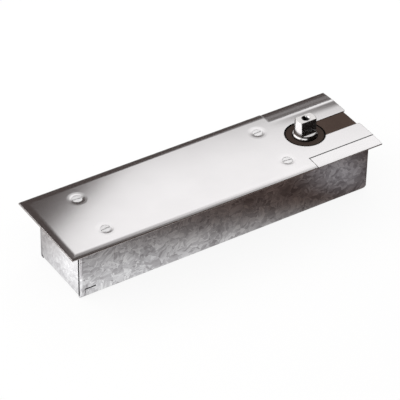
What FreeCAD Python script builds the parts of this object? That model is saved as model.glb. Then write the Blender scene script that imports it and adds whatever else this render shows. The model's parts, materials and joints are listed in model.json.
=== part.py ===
import FreeCAD, Part
import math
import os

import Sketcher

# Double-action floor spring, in millimetres. X runs along the box with the spindle at its +X end,
# Z is up, and the origin lies under the middle of the cover plate, on the underside of the box.

os.makedirs("parts", exist_ok=True)

doc = FreeCAD.newDocument("FloorSpring")
sheet = doc.addObject("Spreadsheet::Sheet", "Sheet")

# Driving dimensions

driving = {
    # cement box
    "box_length": 341.0,
    "box_width": 78.0,
    "box_height": 60.0,
    "box_sheet": 1.5,
    "box_fold": 2.5,
    "box_seam": 2.6,
    "box_shift": 5.2,
    "box_flap": 20.0,
    "box_relief": 3.0,
    "slit_length": 12.0,
    "slit_height": 1.3,
    "slit_level": 10.4,
    "slit_inset": 5.4,
    # cover plate
    "plate_length": 362.0,
    "plate_width": 105.0,
    "plate_top": 64.5,
    "plate_sheet": 1.5,
    "rim_width": 7.9,
    "rim_flank": 2.2,
    "rim_drop": 1.1,
    "keyhole_radius": 21.3,
    "keyhole_slot": 24.7,
    "mouth_round": 2.0,
    "strip_length": 79.0,
    "strip_width": 16.2,
    "strip_cut": 1.0,
    "strip_seam": 0.6,
    "strip_fall": 0.25,
    "strip_drop": 1.5,
    "strip_bow": 58.0,
    "tongue_width": 7.5,
    # screws that hold the cover
    "screw_left": 251.5,
    "screw_right": 40.0,
    "screw_side": 27.3,
    "head_radius": 5.2,
    "shank_radius": 2.45,
    "thread_radius": 2.5,
    "dish_radius": 10.5,
    "dish_lip": 8.0,
    "dish_depth": 0.24,
    # spindle, with its axis at spindle_place
    "spindle_place": 122.0,
    "spindle_top": 84.3,
    "crown_radius": 11.0,
    "collar_radius": 12.7,
    "collar_top": 68.7,
    "head_flare": 7.0,
    "flats_half": 6.2,
    "flats_taper": 0.9,
    "flats_round": 1.5,
    "tap_radius": 3.4,
    "tap_depth": 16.3,
    "journal_radius": 13.0,
    "seat_radius": 12.0,
    "pivot_radius": 10.0,
    # cam and follower
    "cam_rest": 22.0,
    "cam_lift": 12.0,
    "cam_swing": 130.0,
    "roller_radius": 9.0,
    "roller_pin": 4.0,
    "roller_height": 12.0,
    "running": 0.05,
    "key_width": 5.0,
    # closer body
    "body_low": 4.5,
    "body_high": 55.0,
    "barrel_half": 30.0,
    "barrel_reach": 267.5,
    "barrel_round": 4.0,
    "drum_radius": 36.0,
    "bore_radius": 18.0,
    "bore_level": 31.0,
    "chamber_radius": 27.0,
    "chamber_low": 17.0,
    "lug_top": 10.5,
    "lug_corner": 5.0,
    "left_lug_half": 20.0,
    "left_lug_reach": 14.0,
    "right_lug_half": 35.5,
    "right_lug_reach": 11.5,
    "clamp_left": 275.5,
    "clamp_right": 38.0,
    "clamp_side": 27.0,
    "leveller_right": 41.0,
    "leveller_side": 13.0,
    "clamp_hole": 4.5,
    "leveller_hole": 4.0,
    "pillar_radius": 8.0,
    "pillar_foot": 12.5,
    "ring_radius": 31.5,
    "valve_side": 22.5,
    "valve_radius": 3.2,
    "closing_valve_place": 182.0,
    "latching_valve_place": 152.0,
    "filler_place": 216.0,
    "filler_radius": 5.0,
    "gallery_level": 36.0,
    "gallery_radius": 2.2,
    # piston, spring and end plug
    "piston_length": 69.5,
    "ear_half": 9.5,
    "ear_height": 13.3,
    "spring_wire": 4.0,
    "spring_mean": 13.0,
    "spring_turns": 9.0,
    "plug_radius": 20.4,
    "plug_nose": 231.5,
    "plug_step": 237.5,
    "plug_head": 265.5,
    # bearing cover
    "cover_low": 47.0,
    "cover_high": 60.5,
    "gasket": 0.5,
    "bearing_radius": 17.0,
    "seal_radius": 19.0,
    # dust cap and slot filler in the keyhole
    "cap_radius": 20.5,
    "cap_depth": 0.5,
    "filler_gap": 0.3,
    "filler_root": 17.56,
    "filler_flange": 4.5,
    "filler_short": 3.0,
}


class Size:
    """A length together with the sheet expression that gives it."""

    def __init__(self, value, text):
        self.value = float(value)
        self.text = text

    def __add__(self, other):
        return Size(self.value + number(other), f"({self.text} + {words(other)})")

    def __radd__(self, other):
        return Size(number(other) + self.value, f"({words(other)} + {self.text})")

    def __sub__(self, other):
        return Size(self.value - number(other), f"({self.text} - {words(other)})")

    def __rsub__(self, other):
        return Size(number(other) - self.value, f"({words(other)} - {self.text})")

    def __mul__(self, other):
        return Size(self.value * number(other), f"({self.text} * {words(other)})")

    def __rmul__(self, other):
        return Size(number(other) * self.value, f"({words(other)} * {self.text})")

    def __truediv__(self, other):
        return Size(self.value / number(other), f"({self.text} / {words(other)})")

    def __neg__(self):
        return Size(-self.value, f"(0 - {self.text})")


def number(size):
    return size.value if isinstance(size, Size) else float(size)


def words(size):
    return size.text if isinstance(size, Size) else f"({float(size)})"


for row, (alias, value) in enumerate(driving.items(), start=1):
    sheet.set(f"A{row}", str(value))
    sheet.setAlias(f"A{row}", alias)
doc.recompute()


def cell(alias):
    return Size(sheet.get(alias), f"Sheet.{alias}")


def bind(item, place, size):
    item.setExpression(place, words(size))


# Sketches and features

def new_body(label, x=0, y=0, z=0):
    body = doc.addObject("PartDesign::Body", label)
    body.Label = label
    for axis, size in (("x", x), ("y", y), ("z", z)):
        bind(body, f"Placement.Base.{axis}", size)
    return body


def sketch_on(body, plane, offset=0):
    """A sketch on one of the body's own planes; XY looks down Z, XZ has Z up, YZ has Y across, Z up."""
    sketch = body.newObject("Sketcher::SketchObject", f"{body.Name}_sketch")
    support = [item for item in body.Origin.OriginFeatures if item.Role == plane + "_Plane"]
    sketch.AttachmentSupport = (support[0], [""])
    sketch.MapMode = "FlatFace"
    bind(sketch, "AttachmentOffset.Base.z", offset)
    return sketch


def fix_point(sketch, geometry, end, x, y):
    for kind, size in (("DistanceX", x), ("DistanceY", y)):
        index = sketch.addConstraint(Sketcher.Constraint(kind, -1, 1, geometry, end, number(size)))
        bind(sketch, f"Constraints[{index}]", size)


def fix_radius(sketch, geometry, radius):
    index = sketch.addConstraint(Sketcher.Constraint("Radius", geometry, number(radius)))
    bind(sketch, f"Constraints[{index}]", radius)


def arc_between(start, end, radius, left):
    """The arc under a half circle from start to end whose centre lies left or right of the way."""
    middle = (start + end) / 2
    half = (end - start).Length / 2
    way = (end - start).normalize()
    across = FreeCAD.Vector(-way.y, way.x, 0) * (1 if left else -1)
    centre = middle + across * math.sqrt(max(radius ** 2 - half ** 2, 0))
    first = math.atan2(start.y - centre.y, start.x - centre.x)
    last = math.atan2(end.y - centre.y, end.x - centre.x)
    circle = Part.Circle(centre, FreeCAD.Vector(0, 0, 1), radius)
    if left:
        return Part.ArcOfCircle(circle, first, last)
    return Part.ArcOfCircle(circle, last, first)


def outline(sketch, corners):
    """A closed outline. A corner is (x, y), reached by a line, or (x, y, radius, side), by an arc."""
    points = [FreeCAD.Vector(number(corner[0]), number(corner[1]), 0) for corner in corners]
    ends = []
    for index, corner in enumerate(corners):
        start = points[index - 1]
        end = points[index]
        if len(corner) == 2:
            geometry = sketch.addGeometry(Part.LineSegment(start, end))
            ends.append((geometry, 1, 2))
            continue
        left = corner[3] == "left"
        geometry = sketch.addGeometry(arc_between(start, end, number(corner[2]), left))
        ends.append((geometry, 1, 2) if left else (geometry, 2, 1))
    for index, (geometry, first, last) in enumerate(ends):
        before = ends[index - 1]
        sketch.addConstraint(Sketcher.Constraint("Coincident", before[0], before[2], geometry, first))
        fix_point(sketch, geometry, last, corners[index][0], corners[index][1])
        if len(corners[index]) == 4:
            fix_radius(sketch, geometry, corners[index][2])


def circle(sketch, x, y, radius):
    place = FreeCAD.Vector(number(x), number(y), 0)
    geometry = sketch.addGeometry(Part.Circle(place, FreeCAD.Vector(0, 0, 1), number(radius)))
    fix_point(sketch, geometry, 3, x, y)
    fix_radius(sketch, geometry, radius)


def rectangle(sketch, x_low, x_high, y_low, y_high):
    outline(sketch, [(x_low, y_low), (x_high, y_low), (x_high, y_high), (x_low, y_high)])


def feature_on(body, kind, sketch):
    feature = body.newObject(f"PartDesign::{kind}", f"{body.Name}_{kind.lower()}")
    feature.Profile = sketch
    return feature


def pad(body, sketch, length, both_ways=False, backwards=False):
    feature = feature_on(body, "Pad", sketch)
    feature.SideType = "Symmetric" if both_ways else "One side"
    feature.Reversed = backwards
    bind(feature, "Length", length)
    doc.recompute()
    return feature


def must_cut(body, before):
    doc.recompute()
    if body.Shape.Volume >= before - 1e-6:
        raise RuntimeError(f"a cut in {body.Label} takes nothing away")


def pocket(body, sketch, length, both_ways=False, upwards=False):
    """Cuts along the sketch's normal when upwards is set, otherwise against it."""
    before = body.Shape.Volume
    feature = feature_on(body, "Pocket", sketch)
    feature.SideType = "Symmetric" if both_ways else "One side"
    feature.Reversed = upwards
    bind(feature, "Length", length)
    must_cut(body, before)
    return feature


def revolve(body, sketch, axis):
    feature = feature_on(body, "Revolution", sketch)
    feature.ReferenceAxis = (sketch, [axis])
    feature.Angle = 360
    doc.recompute()
    return feature


def groove(body, sketch, axis):
    before = body.Shape.Volume
    feature = feature_on(body, "Groove", sketch)
    feature.ReferenceAxis = (sketch, [axis])
    feature.Angle = 360
    must_cut(body, before)
    return feature


def loft(body, kind, first, last):
    """A straight loft between two sketches; the kind is Additive or Subtractive."""
    before = body.Shape.Volume
    feature = body.newObject(f"PartDesign::{kind}Loft", f"{body.Name}_loft")
    feature.Profile = first
    feature.Sections = [last]
    feature.Ruled = True
    doc.recompute()
    if kind == "Subtractive":
        must_cut(body, before)


def cone(body, kind, x, y, top, top_radius, low, low_radius):
    """A loft between a circle at one height and a circle at a lower one."""
    upper = sketch_on(body, "XY", top)
    circle(upper, x, y, top_radius)
    lower = sketch_on(body, "XY", low)
    circle(lower, x, y, low_radius)
    loft(body, kind, upper, lower)


def fillet(body, radius, chosen):
    """A fillet on the edges of the body that pass the test."""
    doc.recompute()
    base = body.Tip
    names = [f"Edge{index}" for index, edge in enumerate(base.Shape.Edges, start=1) if chosen(edge)]
    if not names:
        raise RuntimeError(f"no edge of {body.Label} to round")
    feature = body.newObject("PartDesign::Fillet", f"{body.Name}_fillet")
    feature.Base = (base, names)
    bind(feature, "Radius", radius)
    doc.recompute()


def turned(label, profile, x=0, y=0, z=0):
    """A turned piece round its own Z axis from a profile of (radius, height) corners."""
    body = new_body(label, x, y, z)
    sketch = sketch_on(body, "XZ")
    outline(sketch, profile)
    revolve(body, sketch, "V_Axis")
    return body


def turned_along(label, profile, x=0, y=0, z=0):
    """A turned piece round its own X axis from a profile of (length, radius) corners."""
    body = new_body(label, x, y, z)
    sketch = sketch_on(body, "XZ")
    outline(sketch, profile)
    revolve(body, sketch, "H_Axis")
    return body


def ring(label, inner, outer, low, high, x=0, y=0, z=0):
    return turned(label, [(inner, low), (outer, low), (outer, high), (inner, high)], x, y, z)


def group(label, members):
    compound = doc.addObject("Part::Compound", label)
    compound.Label = label
    compound.Links = members
    return compound


def hexagon(sketch, x, y, flats):
    """A hexagon by its width across flats."""
    reach = flats / math.sqrt(3)
    corners = []
    for step in range(6):
        angle = math.radians(60 * step)
        corners.append((x + reach * math.cos(angle), y + reach * math.sin(angle)))
    outline(sketch, corners)


nodes = []


def keep(item):
    nodes.append(item)
    return item


spindle_x = cell("spindle_place")
bore_z = cell("bore_level")
running = cell("running")


# Cement box: one folded sheet, open on top

def cement_box():
    box = new_body("cement_box", cell("box_shift"))
    half = cell("box_length") / 2
    side = cell("box_width") / 2
    sheet_t = cell("box_sheet")
    fold = cell("box_fold")
    top = cell("box_height")
    inner_fold = fold - sheet_t
    flap_face = half - sheet_t
    end_half = side - sheet_t - cell("box_seam")

    # floor and long sides in one channel, cut from the blank at the left end
    channel = sketch_on(box, "YZ", -half)
    outline(channel, [
        (side - fold, 0),
        (side, fold, fold, "left"),
        (side, top),
        (side - sheet_t, top),
        (side - sheet_t, fold),
        (side - fold, sheet_t, inner_fold, "right"),
        (fold - side, sheet_t),
        (sheet_t - side, fold, inner_fold, "right"),
        (sheet_t - side, top),
        (-side, top),
        (-side, fold),
        (fold - side, 0, fold, "left"),
    ])
    pad(box, channel, half * 2 - fold)

    # left end turned up between the sides, with an open seam at each corner
    left_end = sketch_on(box, "XZ")
    outline(left_end, [
        (fold - half, 0, fold, "left"),
        (fold - half, sheet_t),
        (sheet_t - half, fold, inner_fold, "right"),
        (sheet_t - half, top),
        (-half, top),
        (-half, fold),
    ])
    notch = sketch_on(box, "XZ")
    rectangle(notch, -half - 1, fold - half, -1, sheet_t)
    pocket(box, notch, end_half * 2, both_ways=True)
    pad(box, left_end, end_half * 2, both_ways=True)

    # right end turned up inside the flaps
    right_end = sketch_on(box, "XZ")
    outline(right_end, [
        (half - fold * 2, 0),
        (flap_face - fold, 0),
        (flap_face, fold, fold, "left"),
        (flap_face, top),
        (flap_face - sheet_t, top),
        (flap_face - sheet_t, fold),
        (flap_face - fold, sheet_t, inner_fold, "right"),
        (half - fold * 2, sheet_t),
    ])
    trim = sketch_on(box, "XZ")
    rectangle(trim, flap_face - fold, half + 1, -1, sheet_t)
    pocket(box, trim, side * 2 + 2, both_ways=True)
    pad(box, right_end, end_half * 2, both_ways=True)

    # flaps folded round the right corners from the long sides
    for way in (1, -1):
        flap = sketch_on(box, "XY", cell("box_relief"))
        near, far = ("left", "right") if way > 0 else ("right", "left")
        outline(flap, [
            (half - fold, side * way, fold, near),
            (half - fold, (side - sheet_t) * way),
            (half - sheet_t, (side - fold) * way, inner_fold, far),
            (half - sheet_t, (side - cell("box_flap")) * way),
            (half, (side - cell("box_flap")) * way),
            (half, (side - fold) * way),
        ])
        pad(box, flap, top - cell("box_relief"))

    # a lanced slit and its short leg near the left end of each long side
    slit_x = cell("slit_inset") - half
    slit = sketch_on(box, "XZ")
    rectangle(slit, slit_x, slit_x + cell("slit_length"),
              cell("slit_level") - cell("slit_height"), cell("slit_level"))
    pocket(box, slit, side * 3, both_ways=True)
    leg = sketch_on(box, "XZ")
    rectangle(leg, slit_x - 0.5, slit_x, cell("slit_level") / 2, cell("slit_level"))
    pocket(box, leg, side * 3, both_ways=True)
    return keep(box)


# Closer body: a cast barrel and drum with screw pillars and end lugs

def cover_screw_places():
    """The four cover screws, from the spindle axis."""
    return [
        (-cell(name), cell("screw_side") * way)
        for name in ("screw_left", "screw_right")
        for way in (-1, 1)
    ]


def ring_screw_places():
    """The six bearing cover screws, from the spindle axis."""
    places = []
    for step in range(6):
        angle = math.radians(30 + 60 * step)
        places.append((cell("ring_radius") * math.cos(angle), cell("ring_radius") * math.sin(angle)))
    return places


def clamp_places():
    """The three clamp screws through the lugs, from the spindle axis."""
    return [
        (-cell("clamp_left"), 0),
        (cell("clamp_right"), -cell("clamp_side")),
        (cell("clamp_right"), cell("clamp_side")),
    ]


def leveller_places():
    """The three levelling screws, from the spindle axis."""
    return [
        (-cell("clamp_left"), -cell("leveller_side")),
        (-cell("clamp_left"), cell("leveller_side")),
        (cell("leveller_right"), 0),
    ]


def closer_body():
    body = new_body("closer_body", spindle_x)
    low = cell("body_low")
    high = cell("body_high")
    half = cell("barrel_half")
    rounding = cell("barrel_round")
    reach = cell("barrel_reach")
    plate_under = cell("plate_top") - cell("plate_sheet")

    barrel = sketch_on(body, "YZ", -reach)
    outline(barrel, [
        (half - rounding, low),
        (half, low + rounding, rounding, "left"),
        (half, high - rounding),
        (half - rounding, high, rounding, "left"),
        (rounding - half, high),
        (-half, high - rounding, rounding, "left"),
        (-half, low + rounding),
        (rounding - half, low, rounding, "left"),
    ])
    pad(body, barrel, reach)

    drum = sketch_on(body, "XZ")
    drum_radius = cell("drum_radius")
    outline(drum, [
        (0, low),
        (drum_radius - rounding, low),
        (drum_radius, low + rounding, rounding, "left"),
        (drum_radius, high),
        (0, high),
    ])
    revolve(body, drum, "V_Axis")

    pillars = sketch_on(body, "XY", cell("pillar_foot"))
    for x, y in cover_screw_places():
        circle(pillars, x, y, cell("pillar_radius"))
    pad(body, pillars, plate_under - cell("pillar_foot"))

    # a narrow lug at the left end and a wide one past the drum
    lugs = sketch_on(body, "XY", low)
    corner = cell("lug_corner")
    left = -reach - cell("left_lug_reach")
    left_half = cell("left_lug_half")
    outline(lugs, [
        (left + corner, -left_half, corner, "left"),
        (1 - reach, -left_half),
        (1 - reach, left_half),
        (left + corner, left_half),
        (left, left_half - corner, corner, "left"),
        (left, corner - left_half),
    ])
    right = drum_radius + cell("right_lug_reach")
    right_half = cell("right_lug_half")
    root = drum_radius - 15
    outline(lugs, [
        (root, -right_half),
        (right - corner, -right_half),
        (right, corner - right_half, corner, "left"),
        (right, right_half - corner),
        (right - corner, right_half, corner, "left"),
        (root, right_half),
    ])
    pad(body, lugs, cell("lug_top") - low)

    # cam chamber with the lower bearing seat, open on top
    chamber = sketch_on(body, "XZ")
    outline(chamber, [
        (0, 8),
        (15, 8),
        (15, cell("chamber_low")),
        (cell("chamber_radius"), cell("chamber_low")),
        (cell("chamber_radius"), high + 1),
        (0, high + 1),
    ])
    groove(body, chamber, "V_Axis")

    # piston bore, from the chamber to the left end, stepped for the end plug
    bore = sketch_on(body, "YZ", -reach - 1)
    circle(bore, 0, bore_z, cell("bore_radius"))
    pocket(body, bore, reach - 14, upwards=True)
    plug_seat = sketch_on(body, "YZ", -reach - 1)
    circle(plug_seat, 0, bore_z, cell("plug_radius"))
    pocket(body, plug_seat, reach - cell("plug_step") + 1, upwards=True)

    # oil gallery beside the bore
    gallery = sketch_on(body, "YZ", -reach - 1)
    circle(gallery, cell("valve_side"), cell("gallery_level"), cell("gallery_radius"))
    pocket(body, gallery, reach - 12, upwards=True)

    # regulating valves cross the gallery; the filler opens into the bore
    valves = sketch_on(body, "XY", high)
    for name in ("closing", "latching"):
        circle(valves, -cell(f"{name}_valve_place"), cell("valve_side"), cell("valve_radius") + running)
    pocket(body, valves, high - cell("gallery_level") + cell("gallery_radius"))
    filler_hole = sketch_on(body, "XY", high)
    circle(filler_hole, -cell("filler_place"), 0, cell("filler_radius"))
    pocket(body, filler_hole, 12)

    # tapped holes for the bearing cover and the cover plate, with conical seats for its pressed cups
    small = sketch_on(body, "XY", high)
    for x, y in ring_screw_places():
        circle(small, x, y, 2)
    pocket(body, small, 12)
    tapped = sketch_on(body, "XY", plate_under)
    for x, y in cover_screw_places():
        circle(tapped, x, y, cell("thread_radius"))
    pocket(body, tapped, 20)

    # lug holes: wide ones for the clamp screws and tapped ones for the levelling screws
    holes = sketch_on(body, "XY", cell("lug_top"))
    for x, y in clamp_places():
        circle(holes, x, y, cell("clamp_hole"))
    for x, y in leveller_places():
        circle(holes, x, y, cell("leveller_hole"))
    pocket(body, holes, 10)
    seat = cell("head_radius") + 1.25
    thread = cell("thread_radius")
    for x, y in cover_screw_places():
        cone(body, "Subtractive", x, y, plate_under, seat, plate_under - (seat - thread), thread)
    return keep(body)


# Spindle: one forged shaft with a lower pivot, a cam seat, an upper journal and a flatted head

def spindle():
    top = cell("spindle_top")
    pivot = cell("pivot_radius")
    seat = cell("seat_radius")
    journal = cell("journal_radius")
    collar = cell("collar_radius")
    collar_top = cell("collar_top")
    crown = cell("crown_radius")
    shoulder = cam_low + cell("roller_height")
    body = turned("spindle", [
        (0, 8.5),
        (pivot - 0.8, 8.5),
        (pivot, 9.3),
        (pivot, 19.05),
        (seat, 19.05),
        (seat, cam_low - 1.6),
        (seat - 0.9, cam_low - 1.6),
        (seat - 0.9, cam_low),
        (seat, cam_low),
        (seat, shoulder),
        (journal, shoulder),
        (journal, 60.8),
        (collar, 61.3),
        (collar, collar_top - 2.9),
        (collar - 1.2, collar_top - 1.7),
        (collar - 1.35, collar_top),
        (crown + 0.15, collar_top + cell("head_flare")),
        (crown, top - 0.6),
        (crown - 0.6, top),
        (0, top),
    ], spindle_x)

    # two flats, slightly tapered, that run out in a round above the collar
    flats = sketch_on(body, "YZ")
    flat_top = cell("flats_half")
    flat_low = flat_top + cell("flats_taper")
    rounding = cell("flats_round")
    outside = collar + 4
    for way, side in ((1, "right"), (-1, "left")):
        outline(flats, [
            (flat_top * way, top),
            (flat_top * way, top + 2),
            (outside * way, top + 2),
            (outside * way, collar_top),
            ((flat_low + rounding) * way, collar_top),
            (flat_low * way, collar_top + rounding, rounding, side),
        ])
    pocket(body, flats, collar * 3, both_ways=True)

    # tapped hole in the crown
    tap = sketch_on(body, "XZ")
    radius = cell("tap_radius")
    outline(tap, [
        (0, top + 1),
        (radius + 1.1, top + 1),
        (radius + 1.1, top),
        (radius, top - 1.1),
        (radius, top - cell("tap_depth")),
        (0, top - cell("tap_depth") - 1.9),
    ])
    groove(body, tap, "V_Axis")

    # keyway on the side away from the piston
    keyway = sketch_on(body, "XY", key_low)
    rectangle(keyway, seat - 2.5, seat + 1, -cell("key_width") / 2, cell("key_width") / 2)
    pocket(body, keyway, key_high - key_low, upwards=True)
    return keep(body)


cam_low = bore_z - cell("roller_height") / 2
key_low = cam_low
key_high = cam_low + 10.5


# Heart-shaped cam: its pitch line climbs evenly from the valley, the same both ways

def cam_disc():
    rest = number(cell("cam_rest"))
    swing = math.radians(number(cell("cam_swing")))
    climb = number(cell("cam_lift")) / swing
    reach = number(cell("roller_radius")) + number(running)
    end = swing + math.radians(4)

    def flank(angle):
        """The point that the roller touches when its centre stands at this angle from the valley."""
        pitch = rest + climb * angle
        slope = math.hypot(pitch, climb)
        outward = pitch - reach * pitch / slope
        sideways = reach * climb / slope
        x = -outward * math.cos(angle) - -sideways * math.sin(angle)
        y = outward * math.sin(angle) + sideways * math.cos(angle)
        return FreeCAD.Vector(x, y, 0)

    steps = 26
    upper = [flank(end * step / steps) for step in range(steps + 1)]
    lower = [FreeCAD.Vector(point.x, -point.y, 0) for point in upper]
    rise = Part.BSplineCurve()
    rise.interpolate(upper)
    fall = Part.BSplineCurve()
    fall.interpolate(lower)
    valley = Part.Arc(lower[0], FreeCAD.Vector(-rest + reach, 0, 0), upper[0])
    back = Part.Arc(upper[-1], FreeCAD.Vector(upper[-1].Length, 0, 0), lower[-1])
    wire = Part.Wire([valley.toShape(), rise.toShape(), back.toShape(), fall.toShape()])
    height = number(cell("roller_height"))
    blank = Part.Face(wire).extrude(FreeCAD.Vector(0, 0, height))
    seat = number(cell("seat_radius"))
    half_key = number(cell("key_width")) / 2
    bore = Part.makeCylinder(seat, height)
    keyway = Part.makeBox(seat + 2.3, 2 * half_key, height, FreeCAD.Vector(0, -half_key, 0))
    cam = doc.addObject("Part::Feature", "cam_disc")
    cam.Label = "cam_disc"
    cam.Shape = blank.cut(bore.fuse(keyway)).removeSplitter()
    place_at(cam, spindle_x, 0, cam_low)
    return keep(cam)


def place_at(item, x, y, z):
    for axis, size in (("x", x), ("y", y), ("z", z)):
        bind(item, f"Placement.Base.{axis}", size)


def cam_key():
    key = new_body("cam_key", spindle_x)
    sketch = sketch_on(key, "XY", key_low + 0.1)
    seat = cell("seat_radius")
    half_key = cell("key_width") / 2 - 0.02
    rectangle(sketch, seat - 2.45, seat + 2.25, -half_key, half_key)
    pad(key, sketch, key_high - key_low - 0.2)
    return keep(key)


def cam_retaining_ring():
    seat = cell("seat_radius")
    clip = ring("cam_retaining_ring", seat - 0.85, seat + 2, cam_low - 1.55, cam_low - 0.05, spindle_x)
    gap = sketch_on(clip, "XY", cam_low)
    rectangle(gap, 0, seat + 4, -2.5, 2.5)
    pocket(clip, gap, 3)
    return keep(clip)


# Piston, forked round the roller, with a check valve through its middle

roller_x = spindle_x - cell("cam_rest")


def piston():
    radius = cell("bore_radius") - running
    root = -8.0
    back = -10 - cell("piston_length")
    body = turned_along("piston", [
        (back - 8, 0),
        (back - 8, 8.2),
        (back - 7, 8.7),
        (back, 8.7),
        (back, radius - 0.8),
        (back + 0.8, radius),
        (back + 8, radius),
        (back + 8, radius - 1.9),
        (back + 11.4, radius - 1.9),
        (back + 11.4, radius),
        (back + 18, radius),
        (back + 20, radius - 2.5),
        (back + 44, radius - 2.5),
        (back + 46, radius),
        (root, radius),
        (7, radius),
        (7, 0),
    ], roller_x, 0, bore_z)

    # fork slot for the roller and cam, then the ears trimmed in height and width
    slot_half = cell("roller_height") / 2 + 0.3
    slot = sketch_on(body, "XZ")
    rectangle(slot, -10, 9, -slot_half, slot_half)
    pocket(body, slot, radius * 3, both_ways=True)
    for way in (1, -1):
        trim = sketch_on(body, "XZ")
        rectangle(trim, root, 9, cell("ear_height") * way, (radius + 2) * way)
        pocket(body, trim, radius * 3, both_ways=True)
    ear = cell("ear_half")
    sides = sketch_on(body, "XY")
    for way, turn in ((1, "right"), (-1, "left")):
        outline(sides, [
            (root, ear * way),
            (0, ear * way),
            (7, (ear - 7) * way, 7, turn),
            (9, (ear - 7) * way),
            (9, (radius + 2) * way),
            (root, (radius + 2) * way),
        ])
    pocket(body, sides, radius * 3, both_ways=True)
    pin = sketch_on(body, "XY")
    circle(pin, 0, 0, cell("roller_pin") + 0.02)
    pocket(body, pin, radius * 3, both_ways=True)

    # check valve passage, wide at the back, with a cone for the ball
    passage = sketch_on(body, "XZ")
    outline(passage, [
        (back - 9, 0),
        (back - 9, 4),
        (back + 14, 4),
        (back + 15.5, 2.2),
        (-9, 2.2),
        (-9, 0),
    ])
    groove(body, passage, "H_Axis")
    return keep(body)


piston_back = roller_x - 10 - cell("piston_length")


def piston_pieces():
    bore = cell("bore_radius")
    keep(turned_along("piston_ring", [
        (8.1, bore - 1.9),
        (11.3, bore - 1.9),
        (11.3, bore - 0.03),
        (8.1, bore - 0.03),
    ], piston_back, 0, bore_z))
    ball = doc.addObject("Part::Sphere", "check_valve_ball")
    ball.Label = "check_valve_ball"
    ball.Radius = 3.3
    place_at(ball, piston_back + 11.4, 0, bore_z)
    keep(ball)
    keep(turned_along("check_valve_retainer", [
        (-4, 1.6),
        (2, 1.6),
        (2, 3.97),
        (-4, 3.97),
    ], piston_back, 0, bore_z))


def roller_and_pin():
    radius = cell("roller_radius")
    half = cell("roller_height") / 2
    bore = cell("roller_pin") + running
    keep(turned("roller", [
        (bore, -half),
        (radius - 0.6, -half),
        (radius, 0.6 - half),
        (radius, half - 0.6),
        (radius - 0.6, half),
        (bore, half),
    ], roller_x, 0, bore_z))
    pin = cell("roller_pin")
    tall = cell("ear_height") - 0.1
    keep(turned("roller_pin", [
        (0, -tall),
        (pin - 0.5, -tall),
        (pin, 0.5 - tall),
        (pin, tall - 0.5),
        (pin - 0.5, tall),
        (0, tall),
    ], roller_x, 0, bore_z))


# Closing spring: one unbroken wire, closed at both ends

spring_start = spindle_x - cell("plug_nose") + 3


def closing_spring():
    wire = number(cell("spring_wire"))
    mean = number(cell("spring_mean"))
    turns = number(cell("spring_turns"))
    length = number(piston_back) - number(spring_start) - 2 * wire - 0.3
    end_pitch = 2 * wire + 0.7
    open_pitch = (length - 1.5 * end_pitch) / (turns - 1.5)

    def along(turn):
        """The wire's way along the spring: close end coils that open out over half a turn."""
        if turn > turns / 2:
            return length - along(turns - turn)
        if turn <= 0.5:
            return end_pitch * turn
        if turn <= 1:
            opening = turn - 0.5
            return end_pitch * turn + (open_pitch - end_pitch) * opening ** 2
        reached = end_pitch + (open_pitch - end_pitch) * 0.25
        return reached + (turn - 1) * open_pitch

    def centre(turn):
        angle = 2 * math.pi * turn
        return FreeCAD.Vector(along(turn), mean * math.cos(angle), mean * math.sin(angle))

    def heading(turn):
        small = 0.001
        before = centre(max(turn - small, 0))
        after = centre(min(turn + small, turns))
        return (after - before).normalize()

    def arc_from(start, end, handle):
        """The arc that leaves start towards handle and comes into end from it."""
        middle = (start + end) / 2
        half = (end - start).Length / 2
        height = (handle - middle).Length
        bulge = half * math.tan(math.atan2(height, half) / 2)
        crest = middle + (handle - middle).normalize() * bulge
        return Part.Arc(start, crest, end).toShape()

    edges = []
    steps = int(turns * 2)
    for step in range(steps):
        first = turns * step / steps
        last = turns * (step + 1) / steps
        start = centre(first)
        end = centre(last)
        leave = heading(first)
        arrive = heading(last)
        chord = end - start
        both = chord.dot(leave + arrive)
        spread = 2 * (1 - leave.dot(arrive))
        handle = (math.sqrt(both ** 2 + spread * chord.dot(chord)) - both) / spread
        joint = (start + end + (leave - arrive) * handle) / 2
        edges.append(arc_from(start, joint, start + leave * handle))
        edges.append(arc_from(joint, end, end - arrive * handle))
    path = Part.Wire(edges)
    section = Part.Wire([Part.Circle(centre(0), heading(0), wire).toShape()])
    tube = path.makePipeShell([section], True, False)
    spring = doc.addObject("Part::Feature", "closing_spring")
    spring.Label = "closing_spring"
    spring.Shape = tube
    place_at(spring, spring_start + cell("spring_wire") + 0.15, 0, bore_z)

    samples = 40
    points = [centre(step / samples) for step in range(int(turns * samples) + 1)]
    gap = min(
        (points[index] - points[other]).Length
        for index in range(len(points))
        for other in range(index + samples // 2, len(points))
    ) - 2 * wire
    print("closing spring: least gap between coils", round(gap, 2), "mm, volume",
          round(tube.Volume / (math.pi * wire ** 2 * path.Length), 3), "of section times length")
    return keep(spring)


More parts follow.
